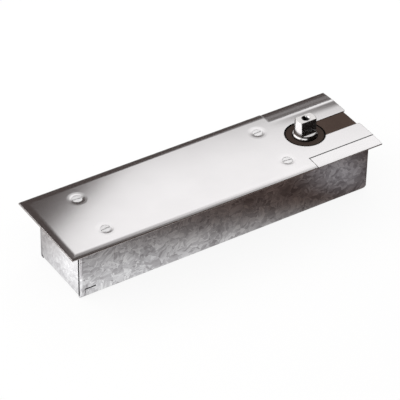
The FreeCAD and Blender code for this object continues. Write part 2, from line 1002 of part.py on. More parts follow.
def end_plug():
    """Screwed plug that takes the spring's thrust, with a hexagon socket and a groove for its ring."""
    nose = -cell("plug_nose")
    step = -cell("plug_step")
    head = -cell("plug_head")
    wide = cell("plug_radius") - 0.05
    narrow = cell("bore_radius") - running
    body = turned_along("end_plug", [
        (head, 0),
        (head, wide - 1),
        (head + 1, wide),
        (step - 10, wide),
        (step - 10, wide - 3),
        (step - 6.8, wide - 3),
        (step - 6.8, wide),
        (step - 0.1, wide),
        (step - 0.1, narrow),
        (nose, narrow),
        (nose, 0),
    ], spindle_x, 0, bore_z)
    socket = sketch_on(body, "YZ", head)
    hexagon(socket, 0, 0, 14)
    pocket(body, socket, 10, upwards=True)
    keep(body)
    seal = doc.addObject("Part::Torus", "end_plug_seal")
    seal.Label = "end_plug_seal"
    seal.Radius2 = 1.45
    bind(seal, "Radius1", wide - 1.5)
    seal.Placement.Rotation = FreeCAD.Rotation(FreeCAD.Vector(0, 1, 0), 90)
    place_at(seal, spindle_x + step - 8.4, 0, bore_z)
    keep(seal)
    keep(turned_along("spring_seat", [
        (0, 7),
        (3, 7),
        (3, 17.5),
        (0, 17.5),
    ], spindle_x + nose, 0, bore_z))


# Bearings, seal and bearing cover round the spindle

def spindle_bearings():
    low = cell("chamber_low")
    keep(ring("lower_bearing", cell("pivot_radius") + running, 14.95, 8, low, spindle_x))
    keep(ring("thrust_washer", cell("pivot_radius") + 0.4, 14, low, low + 2, spindle_x))
    journal = cell("journal_radius") + running
    outer = cell("bearing_radius")
    foot = cell("cover_low") + 1.5
    keep(ring("upper_bearing", journal, outer - 0.02, foot, foot + 7.4, spindle_x))
    seal = cell("seal_radius") - 0.02
    high = cell("cover_high")
    keep(turned("spindle_seal", [
        (journal, high - 3.4),
        (journal + 1.2, high - 4.4),
        (seal, high - 4.4),
        (seal, high - 0.2),
        (seal - 2, high - 0.2),
        (seal - 2, high - 2.4),
        (journal + 1.4, high - 2.4),
        (journal + 0.6, high - 0.8),
        (journal, high - 0.8),
    ], spindle_x))


def bearing_cover():
    low = cell("cover_low")
    seat = cell("body_high") + cell("gasket")
    high = cell("cover_high")
    spigot = cell("chamber_radius") - 0.1
    bearing = cell("bearing_radius")
    seal = cell("seal_radius")
    rim = cell("drum_radius")
    body = turned("bearing_cover", [
        (cell("journal_radius") + 1.5, low),
        (spigot, low),
        (spigot, seat),
        (rim, seat),
        (rim, high - 1),
        (rim - 1, high),
        (seal, high),
        (seal, high - 4.5),
        (bearing, high - 4.5),
        (bearing, low + 1.5),
        (cell("journal_radius") + 1.5, low + 1.5),
    ], spindle_x)
    recesses = sketch_on(body, "XY", high)
    passages = sketch_on(body, "XY", high)
    for x, y in ring_screw_places():
        circle(recesses, x, y, 3.65)
        circle(passages, x, y, 2.2)
    pocket(body, recesses, 3.4)
    pocket(body, passages, 8)
    keep(body)

    gasket = ring("cover_gasket", cell("chamber_radius"), rim, cell("body_high"), seat, spindle_x)
    punched = sketch_on(gasket, "XY", seat)
    for x, y in ring_screw_places():
        circle(punched, x, y, 2.2)
    pocket(gasket, punched, 2)
    keep(gasket)

    screws = []
    for index, (x, y) in enumerate(ring_screw_places(), start=1):
        screw = turned(f"ring_screw_{index}", [
            (0, 46),
            (1.6, 46),
            (1.95, 46.4),
            (1.95, high - 3.4),
            (3.5, high - 3.4),
            (3.5, high - 0.4),
            (3.2, high - 0.1),
            (0, high - 0.1),
        ], spindle_x + x, y)
        socket = sketch_on(screw, "XY", high - 0.1)
        hexagon(socket, 0, 0, 3)
        pocket(screw, socket, 2)
        screws.append(screw)
    keep(group("bearing_cover_screws", screws))


# Regulating valves, filler and gallery plug

def valve(name):
    place = spindle_x - cell(f"{name}_valve_place")
    side = cell("valve_side")
    radius = cell("valve_radius")
    high = cell("body_high")
    screw = turned(f"{name}_valve_screw", [
        (0, cell("gallery_level") - 1.8),
        (1.2, cell("gallery_level") + 1),
        (1.2, high - 15),
        (radius, high - 13.2),
        (radius, high - 8),
        (radius - 1.3, high - 8),
        (radius - 1.3, high - 6.2),
        (radius, high - 6.2),
        (radius, high - 0.9),
        (radius - 0.4, high - 0.5),
        (0, high - 0.5),
    ], place, side)
    slot = sketch_on(screw, "XY", high - 0.5)
    rectangle(slot, -radius - 1, radius + 1, -0.5, 0.5)
    pocket(screw, slot, 1.6)
    keep(screw)
    seal = doc.addObject("Part::Torus", f"{name}_valve_seal")
    seal.Label = f"{name}_valve_seal"
    seal.Radius2 = 0.64
    bind(seal, "Radius1", radius - 0.64)
    place_at(seal, place, side, high - 7.1)
    keep(seal)


def filler():
    high = cell("body_high")
    place = spindle_x - cell("filler_place")
    keep(ring("filler_washer", cell("filler_radius") + 0.1, 8, high, high + 1, place))
    plug = turned("filler_plug", [
        (0, high - 5),
        (4.4, high - 5),
        (4.9, high - 4.5),
        (4.9, high + 1),
        (7.6, high + 1),
        (7.6, high + 4.5),
        (7.1, high + 5),
        (0, high + 5),
    ], place)
    socket = sketch_on(plug, "XY", high + 5)
    hexagon(socket, 0, 0, 5)
    pocket(plug, socket, 4)
    keep(plug)
    keep(turned_along("gallery_plug", [
        (0.5, 0),
        (0.5, 2.1),
        (7, 2.1),
        (7, 0),
    ], spindle_x - cell("barrel_reach"), cell("valve_side"), cell("gallery_level")))


# Fixing of the closer in the box

def box_fixings():
    floor = cell("box_sheet")
    top = cell("lug_top")
    nuts = []
    screws = []
    washers = []
    levellers = []
    for index, (x, y) in enumerate(clamp_places(), start=1):
        place = spindle_x + x
        nut = new_body(f"anchor_nut_{index}", place, y)
        square = sketch_on(nut, "XY", floor)
        rectangle(square, -7.5, 7.5, -7.5, 7.5)
        circle(square, 0, 0, 4)
        pad(nut, square, 2.8)
        nuts.append(nut)
        washers.append(ring(f"clamp_washer_{index}", 4.2, 8, top, top + 1.5, place, y))
        screw = new_body(f"clamp_screw_{index}", place, y)
        shank = sketch_on(screw, "XY", floor + 0.3)
        circle(shank, 0, 0, 3.95)
        pad(screw, shank, top + 1.5 - floor - 0.3)
        head = sketch_on(screw, "XY", top + 1.5)
        hexagon(head, 0, 0, 13)
        pad(screw, head, 5.3)
        screws.append(screw)
    for index, (x, y) in enumerate(leveller_places(), start=1):
        leveller = turned(f"leveller_{index}", [
            (0, floor),
            (2.2, floor),
            (3.95, floor + 1.8),
            (3.95, 15.6),
            (3.5, 16),
            (0, 16),
        ], spindle_x + x, y)
        socket = sketch_on(leveller, "XY", 16)
        hexagon(socket, 0, 0, 4)
        pocket(leveller, socket, 4)
        levellers.append(leveller)
    keep(group("anchor_nuts", nuts))
    keep(group("clamp_washers", washers))
    keep(group("clamp_screws", screws))
    keep(group("levelling_screws", levellers))


# Cover plate, its two corner strips, the slot filler and the dust cap

half_plate = cell("plate_length") / 2
side_plate = cell("plate_width") / 2
plate_under = cell("plate_top") - cell("plate_sheet")
rim_under = plate_under - cell("rim_drop")
tongue_under = plate_under - cell("plate_sheet")
notch_x = half_plate - cell("strip_length")
notch_y = side_plate - cell("strip_width")


def rim_wedge(sketch, edge, way):
    """What the bend of the rim takes off the sheet at this distance from the plate's middle."""
    top = cell("plate_top")
    drop = cell("rim_drop")
    flank = cell("rim_flank")
    arc = cell("rim_width") - flank
    bend = arc * (arc / 2 + flank) / drop
    bend_depth = arc * drop / (arc + flank * 2)
    outline(sketch, [
        ((edge - flank - arc) * way, top),
        ((edge - flank) * way, top - bend_depth, bend, "right" if way > 0 else "left"),
        (edge * way, top - drop),
        ((edge + 1) * way, top - drop),
        ((edge + 1) * way, top + 1),
        ((edge - flank - arc) * way, top + 1),
    ])


def cover_plate():
    body = new_body("cover_plate")
    top = cell("plate_top")
    blank = sketch_on(body, "XY", rim_under)
    outline(blank, [
        (-half_plate, -side_plate),
        (notch_x, -side_plate),
        (notch_x, -notch_y),
        (half_plate, -notch_y),
        (half_plate, notch_y),
        (notch_x, notch_y),
        (notch_x, side_plate),
        (-half_plate, side_plate),
    ])
    pad(body, blank, top - rim_under)

    # the rim bends down in a long arc and a short straight flank on both long sides and the left end
    sides = sketch_on(body, "YZ", -half_plate)
    for way in (-1, 1):
        rim_wedge(sides, side_plate, way)
    pocket(body, sides, half_plate * 2, upwards=True)
    left = sketch_on(body, "XZ")
    rim_wedge(left, half_plate, -1)
    pocket(body, left, side_plate * 3, both_ways=True)

    # underside hollowed so that sheet and rim keep one thickness
    inner = cell("rim_width") * 0.72
    past = half_plate + 20
    hollow_low = sketch_on(body, "XY", rim_under)
    rectangle(hollow_low, 0.25 - half_plate, past, 0.25 - side_plate, side_plate - 0.25)
    hollow_high = sketch_on(body, "XY", plate_under)
    rectangle(hollow_high, inner - half_plate, past, inner - side_plate, side_plate - inner)
    loft(body, "Subtractive", hollow_low, hollow_high)

    # pressed cups that take the countersunk heads
    for x, y in cover_screw_places():
        pressed_cup(body, spindle_x + x, y)

    # keyhole round the spindle, open to the right end
    keyhole = sketch_on(body, "XY", top)
    circle(keyhole, spindle_x, 0, cell("keyhole_radius"))
    pocket(body, keyhole, 10)
    slot_half = cell("keyhole_slot") / 2
    slot = sketch_on(body, "XY", top)
    rectangle(slot, spindle_x, half_plate + 5, -slot_half, slot_half)
    pocket(body, slot, 10)

    def at_mouth(edge):
        box = edge.BoundBox
        upright = box.XLength < 1e-6 and box.YLength < 1e-6
        at_end = abs(box.XMin - number(half_plate)) < 1e-6
        return upright and at_end and abs(abs(box.YMin) - number(slot_half)) < 1e-6

    fillet(body, cell("mouth_round"), at_mouth)
    return keep(body)


def pressed_cup(body, x, y):
    """A shallow dish and a conical cup, pressed into the sheet round one screw."""
    top = cell("plate_top")
    dish_low = top - cell("dish_depth")
    cup = cell("head_radius") + 0.1
    throat = cell("thread_radius") + 0.25
    wall = 1.02
    cup_depth = 2.0
    cone(body, "Additive", x, y, plate_under, cup + wall, plate_under - cup_depth, cup + wall - cup_depth)
    lip = cell("dish_lip")
    lip_low = top - cell("dish_depth") / 4
    cone(body, "Subtractive", x, y, top, cell("dish_radius"), lip_low, lip)
    cone(body, "Subtractive", x, y, lip_low, lip, dish_low, cup)
    cone(body, "Subtractive", x, y, dish_low, cup, dish_low - (cup - throat), throat)
    hole = sketch_on(body, "XY", top)
    circle(hole, x, y, throat)
    pocket(body, hole, 10)


def corner_strip(label, way):
    """A strip beside the spindle with the same bent rim, and a tongue under the cover plate."""
    body = new_body(label)
    top = cell("plate_top")
    start = notch_x + cell("strip_cut")
    inner = notch_y + cell("strip_seam")
    fold = side_plate - cell("rim_width")
    fall = cell("strip_fall")
    tongue = inner - cell("tongue_width")
    bow = (side_plate * way, top - fall - cell("strip_drop"))
    section = sketch_on(body, "YZ", start)
    outline(section, [
        (tongue * way, plate_under),
        (tongue * way, tongue_under),
        ((inner + 1.5) * way, tongue_under),
        ((inner + 1.5) * way, plate_under - fall * 2),
        ((fold - 0.25) * way, plate_under - fall * 2),
        ((side_plate - 0.25) * way, tongue_under),
        (side_plate * way, tongue_under),
        bow,
        ((inner + 8.1) * way, top - fall - 0.56, cell("strip_bow"), "left" if way > 0 else "right"),
        ((inner + 4.2) * way, top - fall - 0.33),
        (inner * way, top - fall),
        (inner * way, plate_under),
    ])
    pad(body, section, cell("strip_length") - cell("strip_cut"))
    return keep(body)


def slot_filler():
    """Fills the keyhole's slot a little below the plate, held by a flange under it."""
    body = new_body("slot_filler", spindle_x)
    gap = cell("filler_gap")
    half = cell("keyhole_slot") / 2 - gap
    edge = cell("keyhole_radius")
    end = half_plate - spindle_x - cell("filler_short")
    flange = half + cell("filler_flange")
    root = cell("filler_root")
    upper = sketch_on(body, "XY", plate_under)
    outline(upper, [
        (root, -half, edge, "right"),
        (end, -half),
        (end, half),
        (root, half),
    ])
    pad(body, upper, cell("plate_sheet") - gap)
    lower = sketch_on(body, "XY", tongue_under)
    rectangle(lower, edge + 0.5, end - 2, -flange, flange)
    pad(body, lower, plate_under - tongue_under)
    return keep(body)


def dust_cap():
    """The dark ring round the spindle; its skirt stands on the bearing cover."""
    high = cell("cover_high")
    top = cell("plate_top") - cell("cap_depth")
    rim = cell("cap_radius")
    bore = cell("collar_radius") + 0.5
    return keep(turned("dust_cap", [
        (bore, top - 1.8),
        (rim - 1.6, top - 1.8),
        (rim - 1.6, high),
        (rim, high),
        (rim, top - 0.3),
        (rim - 0.3, top),
        (bore, top),
    ], spindle_x))


def cover_screws():
    """Slotted countersunk screws with a slightly raised head."""
    head = cell("head_radius")
    shank = cell("shank_radius")
    land = cell("plate_top") - cell("dish_depth")
    crown = 0.25
    # each screw stops with its slot a few degrees off the plate's length
    slot_turns = (4, -4, -7, 4)
    screws = []
    for index, (x, y) in enumerate(cover_screw_places(), start=1):
        screw = turned(f"cover_screw_{index}", [
            (0, 44),
            (shank - 0.6, 44),
            (shank, 44.6),
            (shank, land - 0.1 - (head - shank)),
            (head, land - 0.1),
            (head - 0.3, land - 0.1 + crown / 2),
            (head / 2, land - 0.15 + crown),
            (0, land - 0.1 + crown),
        ], spindle_x + x, y)
        slot = sketch_on(screw, "XY", land + 1)
        rectangle(slot, -head - 1, head + 1, -0.6, 0.6)
        pocket(screw, slot, 2.4)
        turn = FreeCAD.Rotation(FreeCAD.Vector(0, 0, 1), slot_turns[index - 1])
        screw.Placement = FreeCAD.Placement(screw.Placement.Base, turn)
        screws.append(screw)
    return keep(group("cover_screws", screws))


cement_box()
closer_body()
box_fixings()
spindle()
cam_disc()
cam_key()
cam_retaining_ring()
piston()
piston_pieces()
roller_and_pin()
closing_spring()
end_plug()
spindle_bearings()
bearing_cover()
valve("closing")
valve("latching")
filler()
cover_plate()
corner_strip("front_corner_strip", -1)
corner_strip("rear_corner_strip", 1)
slot_filler()
dust_cap()
cover_screws()
doc.recompute()

# Every object is sound before anything is written

for item in doc.Objects:
    if "Invalid" in item.State or "Error" in item.State:
        raise RuntimeError(f"{item.Label} failed: {item.State}")
for node in nodes:
    if node.Shape.isNull() or not node.Shape.isValid():
        raise RuntimeError(f"{node.Label} has no sound shape")
for node in nodes:
    node.Shape.exportStep(f"parts/{node.Label}.step")
print(len(nodes), "nodes written")
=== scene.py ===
import bpy
import bmesh
import json
import math
from mathutils import Matrix, Vector


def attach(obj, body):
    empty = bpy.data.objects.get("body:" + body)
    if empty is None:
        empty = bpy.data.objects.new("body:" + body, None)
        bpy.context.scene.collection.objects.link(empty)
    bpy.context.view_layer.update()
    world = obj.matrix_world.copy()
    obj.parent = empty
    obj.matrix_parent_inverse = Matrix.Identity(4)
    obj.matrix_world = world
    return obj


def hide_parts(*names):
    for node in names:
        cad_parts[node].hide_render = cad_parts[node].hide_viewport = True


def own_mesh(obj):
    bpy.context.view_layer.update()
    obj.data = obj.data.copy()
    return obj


# Floor spring in its cement box, with the cover plate on. Metres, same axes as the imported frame:
# +X along the box to the spindle, +Y to the rear long side, +Z up.
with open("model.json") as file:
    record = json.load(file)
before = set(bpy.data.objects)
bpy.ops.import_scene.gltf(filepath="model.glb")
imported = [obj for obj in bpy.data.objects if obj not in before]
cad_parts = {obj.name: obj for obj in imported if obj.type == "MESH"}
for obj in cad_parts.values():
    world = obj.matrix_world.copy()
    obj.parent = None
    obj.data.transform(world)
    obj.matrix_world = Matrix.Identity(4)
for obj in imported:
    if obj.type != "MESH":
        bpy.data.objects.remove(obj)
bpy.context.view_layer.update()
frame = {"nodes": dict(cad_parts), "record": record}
bpy.context.scene.view_settings.view_transform = "Standard"

plateTop = 0.0645  # the height that the softboxes are measured from
spindleAxis = (0.122, 0.0, 0.0)
white = (1.0, 1.0, 1.0, 1.0)


def fromHex(code):  # sRGB hex to linear rgba
    parts = [int(code[i:i + 2], 16) / 255 for i in (0, 2, 4)]
    return tuple(c / 12.92 if c <= 0.04045 else ((c + 0.055) / 1.055) ** 2.4 for c in parts) + (1.0,)


def addNode(tree, kind, inputs=None, stops=(), **settings):
    # one node with its settings, a value or link for each socket, and the (place, hex) stops of a ramp
    node = tree.nodes.new(kind)
    for name, value in settings.items():
        setattr(node, name, value)
    for socket, value in (inputs or {}).items():
        if isinstance(value, bpy.types.NodeSocket):
            tree.links.new(value, node.inputs[socket])
        else:
            node.inputs[socket].default_value = value
    if stops:
        elements = node.color_ramp.elements
        while len(elements) < len(stops):
            elements.new(0.5)
        for element, (place, code) in zip(elements, stops):
            element.position = place
            element.color = fromHex(code)
    return node


def perMetre(millimetres):  # texture scale for a pattern of this real size
    return 1000.0 / millimetres


def newMaterial(name):
    material = bpy.data.materials.new(name)
    material.use_nodes = True
    tree = material.node_tree
    tree.nodes.clear()
    return material, tree


def addPiece(name, shape, material):  # an object from a bmesh, which is used up
    mesh = bpy.data.meshes.new(name)
    shape.to_mesh(mesh)
    shape.free()
    mesh.materials.append(material)
    piece = bpy.data.objects.new(name, mesh)
    bpy.context.scene.collection.objects.link(piece)
    return piece


# camera, fitted to the plate, box, screws and spindle of the photo
photoCamera = {
    "azimuth": -33.06,  # degrees, to the left of the front
    "elevation": 37.62,
    "roll": 0.99,
    "lens": 211.2,  # mm
    "sensor": 36.0,  # mm
    "clip": (0.05, 50.0),
    "distance": 2.3745,  # metres from the middle of the underside
    "across": -0.006800,  # metres, in the picture's own plane
    "up": 0.021337,
    "alongBox": 0.0047,
}


def makeCamera(values):
    azimuth = math.radians(values["azimuth"])
    elevation = math.radians(values["elevation"])
    roll = math.radians(values["roll"])
    flat = math.cos(elevation)
    back = Vector((math.sin(azimuth) * flat, -math.cos(azimuth) * flat, math.sin(elevation)))
    side = Vector((math.cos(azimuth), math.sin(azimuth), 0))
    top = back.cross(side)
    turnedSide = math.cos(roll) * side + math.sin(roll) * top
    turnedTop = -math.sin(roll) * side + math.cos(roll) * top
    place = turnedSide * values["across"] + turnedTop * values["up"] + back * values["distance"]
    place.x += values["alongBox"]
    data = bpy.data.cameras.new("photo_camera")
    data.lens = values["lens"]
    data.sensor_width = values["sensor"]
    data.clip_start, data.clip_end = values["clip"]
    camera = bpy.data.objects.new("photo_camera", data)
    bpy.context.scene.collection.objects.link(camera)
    turn = Matrix((turnedSide, turnedTop, back)).transposed().to_4x4()
    camera.matrix_world = Matrix.Translation(place) @ turn
    bpy.context.scene.camera = camera


makeCamera(photoCamera)

# studio: white for the eye; metal also sees the dark cloth between the softboxes
studio = {
    "softLight": 0.72,  # what falls on plain surfaces from all round
    "cloth": "4a4240",  # warm dark cloth behind and at the left
    "clothFront": "0e0907",  # darker at the front
    "rearwards": (-0.3, 0.95, 0.0),  # the cloth lightens this way,
    "clothTurn": (-0.1, 0.25),  # from the first to the second of these
    "horizon": "f4f2f1",  # the white sweep shows below the cloth at the rear,
    "horizonTurn": (0.19, 0.12),  # from the first of these heights down to the second
}


def rayKinds(tree):  # 1 for the eye, and 1 for what metal and glass show
    ray = addNode(tree, "ShaderNodeLightPath").outputs
    shiny = {0: ray["Is Glossy Ray"], 1: ray["Is Transmission Ray"]}
    return ray["Is Camera Ray"], addNode(tree, "ShaderNodeMath", shiny, operation="MAXIMUM").outputs[0]


# sockets 6 and 7 of a Mix node are its two colours, and its output 2 is the colour it makes
def makeWorld(values):
    world = bpy.data.worlds.new("studio")
    bpy.context.scene.world = world
    world.use_nodes = True
    tree = world.node_tree
    tree.nodes.clear()
    look = addNode(tree, "ShaderNodeTexCoord").outputs["Generated"]
    depth = {0: look, 1: values["rearwards"]}
    depth = addNode(tree, "ShaderNodeVectorMath", depth, operation="DOT_PRODUCT").outputs["Value"]
    start, end = values["clothTurn"]
    rear = {"Value": depth, "From Min": start, "From Max": end}
    rear = addNode(tree, "ShaderNodeMapRange", rear).outputs[0]
    cloth = {0: rear, 6: fromHex(values["clothFront"]), 7: fromHex(values["cloth"])}
    cloth = addNode(tree, "ShaderNodeMix", cloth, data_type="RGBA").outputs[2]
    height = addNode(tree, "ShaderNodeSeparateXYZ", {0: look}).outputs["Z"]
    start, end = values["horizonTurn"]
    low = {"Value": height, "From Min": start, "From Max": end}
    low = addNode(tree, "ShaderNodeMapRange", low).outputs[0]
    low = addNode(tree, "ShaderNodeMath", {0: low, 1: rear}, operation="MULTIPLY").outputs[0]
    cloth = {0: low, 6: cloth, 7: fromHex(values["horizon"])}
    cloth = addNode(tree, "ShaderNodeMix", cloth, data_type="RGBA").outputs[2]
    eye, shiny = rayKinds(tree)
    soft = {0: eye, 6: (values["softLight"],) * 3 + (1.0,), 7: white}
    soft = addNode(tree, "ShaderNodeMix", soft, data_type="RGBA").outputs[2]
    colour = addNode(tree, "ShaderNodeMix", {0: shiny, 6: soft, 7: cloth}, data_type="RGBA").outputs[2]
    light = addNode(tree, "ShaderNodeBackground", {"Color": colour, "Strength": 1.0})
    addNode(tree, "ShaderNodeOutputWorld", {"Surface": light.outputs[0]})
    world.cycles.sampling_method = "NONE"


makeWorld(studio)

# each softbox stands off the top of the plate, at an azimuth and elevation in degrees and a distance in
# metres, and reaches across and up in its own plane; level is how bright its cloth looks; each of its sides
# is a line in that plane, given as (normal, place, softness, light left beyond it)
softboxes = {
    "ceiling_softbox": {
        "azimuth": 90.0, "elevation": 90.0, "distance": 0.32,
        "across": (-0.173, 0.627), "up": (-0.558, 0.012), "level": 0.98,
        "sides": (
            ((0.486, 0.874), -0.2935, 0.004, 0.0),
            ((0.328, -0.945), 0.1500, 0.085, 0.0),
            ((1.0, 0.0), -0.0450, 0.035, 0.10),
            ((-0.185, 0.983), -0.4796, 0.075, 0.11),
        ),
    },
    "left_softbox": {
        "azimuth": 155.0, "elevation": 35.0, "distance": 1.5,
        "across": (-1.36, 1.26), "up": (-0.60, 0.60), "level": 1.5, "sides": (),
    },
    "top_softbox": {
        "azimuth": -122.0, "elevation": 52.0, "distance": 0.6,
        "across": (-0.24, 0.20), "up": (-0.10, 0.12), "level": 1.3, "sides": (),
    },
}


def makeSoftbox(name, values):
    azimuth = math.radians(values["azimuth"])
    elevation = math.radians(values["elevation"])
    flat = math.cos(elevation)
    away = Vector((math.cos(azimuth) * flat, math.sin(azimuth) * flat, math.sin(elevation)))
    side = Vector((math.sin(azimuth), -math.cos(azimuth), 0))
    rise = side.cross(away)
    left, right = values["across"]
    low, high = values["up"]
    middle = side * (left + right) / 2 + rise * (low + high) / 2
    place = Vector((0, 0, plateTop)) + away * values["distance"] + middle
    data = bpy.data.lights.new(name, "AREA")
    data.shape = "RECTANGLE"
    data.size = right - left
    data.size_y = high - low
    data.energy = values["level"] * math.pi * data.size * data.size_y
    data.use_nodes = True
    tree = data.node_tree
    tree.nodes.clear()
    spot = addNode(tree, "ShaderNodeNewGeometry").outputs["Parametric"]
    spot = {0: spot, 1: (data.size, -data.size_y, 0.0), 2: (left, high, 0.0)}
    spot = addNode(tree, "ShaderNodeVectorMath", spot, operation="MULTIPLY_ADD").outputs[0]
    share = 1.0
    for (along, up), start, softness, least in values["sides"]:
        reading = {0: spot, 1: (along, up, 0.0)}
        reading = addNode(tree, "ShaderNodeVectorMath", reading, operation="DOT_PRODUCT").outputs["Value"]
        inside = {"Value": reading, "From Min": start - softness, "From Max": start + softness}
        inside["To Min"] = least
        inside = addNode(tree, "ShaderNodeMapRange", inside, interpolation_type="SMOOTHSTEP").outputs[0]
        share = addNode(tree, "ShaderNodeMath", {0: inside, 1: share}, operation="MULTIPLY").outputs[0]
    glow = addNode(tree, "ShaderNodeEmission", {"Strength": share}).outputs[0]
    addNode(tree, "ShaderNodeOutputLight", {"Surface": glow})
    lamp = bpy.data.objects.new(name, data)
    lamp.visible_camera = False
    bpy.context.scene.collection.objects.link(lamp)
    lamp.matrix_world = Matrix.Translation(place) @ Matrix((side, -rise, away)).transposed().to_4x4()


for name, values in softboxes.items():
    makeSoftbox(name, values)

# floor: a white sweep; metal sees a pool of light round the left front corner of the box
floorValues = {
    "size": 8.0,
    "height": -0.0003,
    "sweep": "f4f3f2",
    "pool": "fbfbfa",
    "leftGain": 0.95,  # the pool is brighter still off the left end,
    "leftEdge": (-0.160, -0.200),  # from the first of these to the second
    "forwards": (0.3, -1.0, 0.0),  # the pool fades this way,
    "poolEdge": (0.010, 0.095),  # between these
    "rearEdge": (0.005, 0.070),  # its fall-off towards the rear
    "rearShare": 0.62,
    "farEdge": (-0.203, -0.216),  # the edge of the plate mirrors nothing bright past here
    "dim": "54453f",  # painted dim light, warm grey, in front of the right half
    "spot": "9d999b",  # a soft painted spot of light in front of the right end
    "spotPlace": (0.168, -0.080, 0.0),
    "spotEdge": (0.055, 0.008),  # its border and its core
    "shadowShare": 0.12,  # how much of the object's shadow the eye sees,
    "mirroredShadow": 0.024,  # and how much metal mirrors
}


def makeFloor(values):
    material, tree = newMaterial("paper sweep")
    place = addNode(tree, "ShaderNodeTexCoord").outputs["Object"]
    axes = addNode(tree, "ShaderNodeSeparateXYZ", {0: place}).outputs
    front = {0: place, 1: values["forwards"]}
    front = addNode(tree, "ShaderNodeVectorMath", front, operation="DOT_PRODUCT").outputs["Value"]
    reach = {0: place, 1: values["spotPlace"]}
    reach = addNode(tree, "ShaderNodeVectorMath", reach, operation="DISTANCE").outputs["Value"]
    fades = {}
    for part, reading in ("pool", front), ("rear", axes["Y"]), ("far", axes["X"]), ("spot", reach):
        start, end = values[part + "Edge"]
        fade = {"Value": reading, "From Min": start, "From Max": end}
        fades[part] = addNode(tree, "ShaderNodeMapRange", fade, interpolation_type="SMOOTHSTEP").outputs[0]
    rear = {0: fades["rear"], 1: values["rearShare"]}
    rear = addNode(tree, "ShaderNodeMath", rear, operation="MULTIPLY").outputs[0]
    dimmed = addNode(tree, "ShaderNodeMath", {0: fades["pool"], 1: rear}, operation="MAXIMUM").outputs[0]
    dimmed = addNode(tree, "ShaderNodeMath", {0: dimmed, 1: fades["far"]}, operation="MAXIMUM").outputs[0]
    dim = {0: fades["spot"], 6: fromHex(values["dim"]), 7: fromHex(values["spot"])}
    dim = addNode(tree, "ShaderNodeMix", dim, data_type="RGBA").outputs[2]
    mirrored = {0: dimmed, 6: fromHex(values["pool"]), 7: dim}
    mirrored = addNode(tree, "ShaderNodeMix", mirrored, data_type="RGBA").outputs[2]
    eye, shiny = rayKinds(tree)
    colour = {0: shiny, 6: white, 7: mirrored}
    colour = addNode(tree, "ShaderNodeMix", colour, data_type="RGBA").outputs[2]
    start, end = values["leftEdge"]
    left = {"Value": axes["X"], "From Min": start, "From Max": end, "To Max": values["leftGain"]}
    left = addNode(tree, "ShaderNodeMapRange", left).outputs[0]
    gain = addNode(tree, "ShaderNodeMath", {0: left, 1: shiny, 2: 1.0}, operation="MULTIPLY_ADD").outputs[0]
    glow = addNode(tree, "ShaderNodeEmission", {"Color": colour, "Strength": gain}).outputs[0]
    paper = addNode(tree, "ShaderNodeBsdfDiffuse", {"Color": fromHex(values["sweep"])}).outputs[0]
    share = {"Value": shiny, "To Min": values["shadowShare"], "To Max": values["mirroredShadow"]}
    share = addNode(tree, "ShaderNodeMapRange", share).outputs[0]
    shown = addNode(tree, "ShaderNodeMixShader", {0: share, 1: glow, 2: paper}).outputs[0]
    seen = addNode(tree, "ShaderNodeMath", {0: eye, 1: shiny}, operation="MAXIMUM").outputs[0]
    surface = addNode(tree, "ShaderNodeMixShader", {0: seen, 1: paper, 2: shown}).outputs[0]
    addNode(tree, "ShaderNodeOutputMaterial", {"Surface": surface})
    shape = bmesh.new()
    bmesh.ops.create_grid(shape, x_segments=1, y_segments=1, size=values["size"] / 2)
    floor = addPiece("floor", shape, material)
    floor.location.z = values["height"]


makeFloor(floorValues)
print("camera and studio made")

# finishes: what they share
noiseMiddle = (0.5, 0.5, 0.5)  # a noise colour's mean
reliefDepth = 0.0001  # metres, the depth of a bump at full strength
edgeBlur = 0.0001  # metres, over which a painted edge changes
nearSamples = {"edge": 4, "shade": 6}  # rays that feel for an edge, and for a near surface
shadeRange = (0.35, 0.85)  # how open a spot is where its shade is full, and where it ends


def paintedJointShade(tree, reach, least):  # painted shade: darker where another surface is within reach
    clear = {"Distance": reach}
    clear = addNode(tree, "ShaderNodeAmbientOcclusion", clear, samples=nearSamples["shade"]).outputs["AO"]
    start, end = shadeRange
    shade = {"Value": clear, "From Min": start, "From Max": end, "To Min": least}
    return addNode(tree, "ShaderNodeMapRange", shade).outputs[0]


def closeMaterial(tree, colour, shade, rough, metallic, normal):
    # the base colour is multiplied by the painted shade
    colour = addNode(tree, "ShaderNodeVectorMath", {0: colour, "Scale": shade}, operation="SCALE").outputs[0]
    shader = {"Base Color": colour, "Roughness": rough, "Metallic": metallic, "Normal": normal}
    shader = addNode(tree, "ShaderNodeBsdfPrincipled", shader).outputs[0]
    addNode(tree, "ShaderNodeOutputMaterial", {"Surface": shader})


# hot-dip galvanised steel: overlapping frost flowers of blades, some matt and grey, some bright
galvanised = {
    "warp": (12.0, 0.009),  # mm between the bends of the pattern, and metres that they shift it
    "spangle": 13.0,  # mm across a zinc crystal
    "growth": 19.0,  # radians, the spread of the ways that crystals grow
    "blade": (10.0, 2.6),  # mm along and across the blades that a crystal grows in
    "hair": (6.0, 0.5),  # mm along and across the fine lines on a blade
    "cloud": 30.0,  # mm across the slow change of tone
    "weights": {"crystal": 0.30, "blade": 0.55, "hair": 0.30, "cloud": 0.70},
    "spread": (0.54, 1.26),  # the weighted sum that is darkest, and palest
    "dark": "9b989b",
    "middle": "c4c3c6",
    "pale": "e9e9eb",
    "roughness": (0.24, 0.34),
    "tilt": 0.03,  # how far a blade leans, and so catches other light than the next
    "relief": 0.30,
    "seam": 0.0022,  # metres; painted shade in the folds and slots
    "paintedSeamShade": 0.12,
    "paintedLightPast": -0.1651,  # painted light: the left end is evened out and lightened past here,
    "paintedLightShare": 0.55,  # by this share, towards this tone
    "paintedLightTone": 0.72,
    "edge": 0.0006,
    "fold": (-0.1622, -0.1650),  # the upright folds at the left end roll over between these,
    "foldPast": 0.0382,  # on the outer faces alone, which lie past this
}


